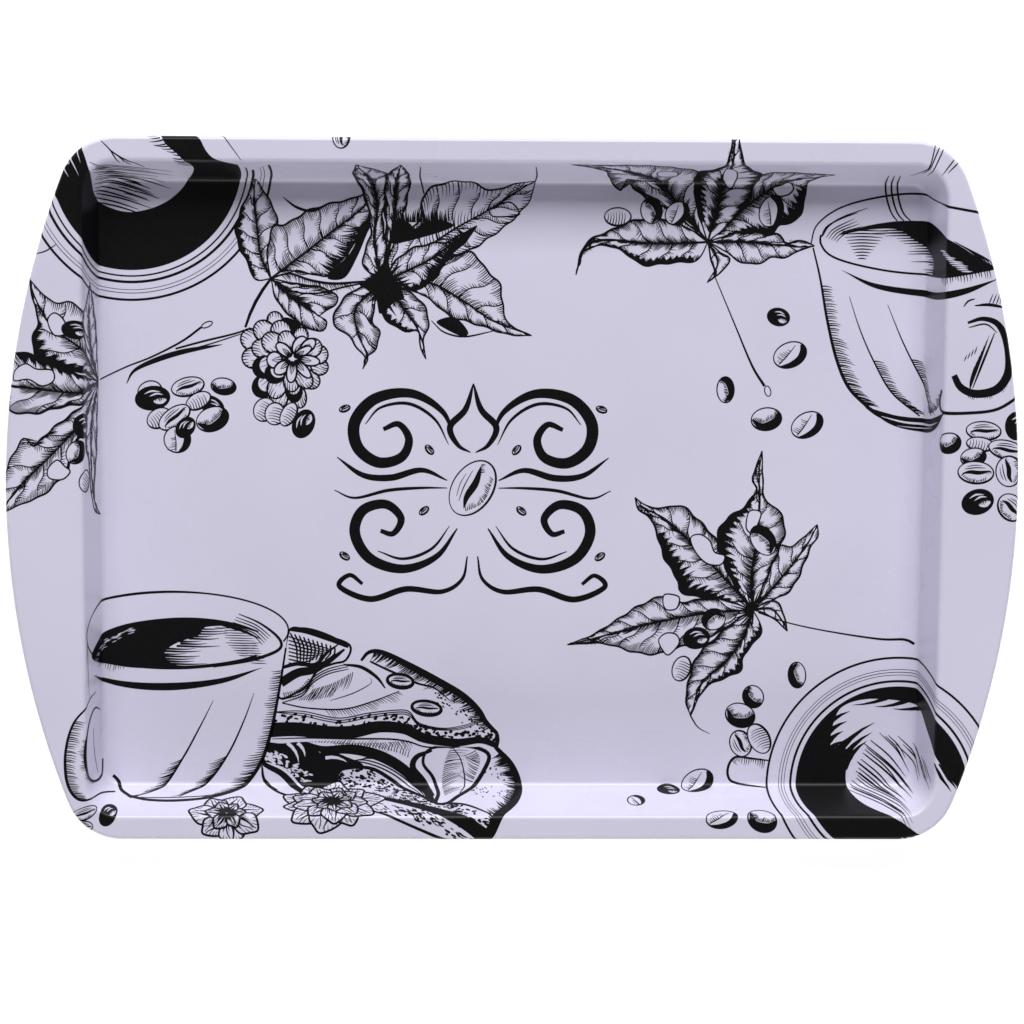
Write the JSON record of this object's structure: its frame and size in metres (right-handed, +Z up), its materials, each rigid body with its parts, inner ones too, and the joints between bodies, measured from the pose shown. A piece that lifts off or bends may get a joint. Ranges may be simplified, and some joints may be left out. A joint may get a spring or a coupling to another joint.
{
  "type": "serving tray",
  "caption": "Shallow pressed tinplate serving tray with bowed grip ends, a rolled edge, a white base coat and black coffee-themed line prints.",
  "frame": {"origin": "centre of the underside of the floor, which is the bottom centre of the bounding box", "axes": "+X along the long way between the bowed grip ends, +Y towards the top of the print, +Z up out of the recess"},
  "size_m": [0.3902, 0.2728, 0.0204],
  "materials": {
    "tinplate": "clear-lacquered tinplate, satin",
    "white_enamel": "cool white litho base coat under gloss varnish",
    "black_ink": "black litho ink under gloss varnish"
  },
  "bodies": {
    "root": {"ink_bean_top_edge": "black_ink", "ink_beans_left": "black_ink", "ink_beans_lower_left": "black_ink", "ink_beans_lower_right": "black_ink", "ink_beans_right_flange": "black_ink", "ink_beans_upper_right": "black_ink", "ink_centre_ornament": "black_ink", "ink_corner_strokes": "black_ink", "ink_croissant": "black_ink", "ink_cup_above_lower_right": "black_ink", "ink_cup_above_upper_left": "black_ink", "ink_cup_side_lower_left": "black_ink", "ink_cup_side_upper_right": "black_ink", "ink_flower": "black_ink", "ink_leaf_left_edge": "black_ink", "ink_leaf_lower_right": "black_ink", "ink_leaf_upper_right": "black_ink", "ink_leaves_upper_left": "black_ink", "ink_star_anise": "black_ink", "ink_twig": "black_ink", "tinplate_pan": "tinplate", "white_enamel": "white_enamel"}
  },
  "joints": []
}
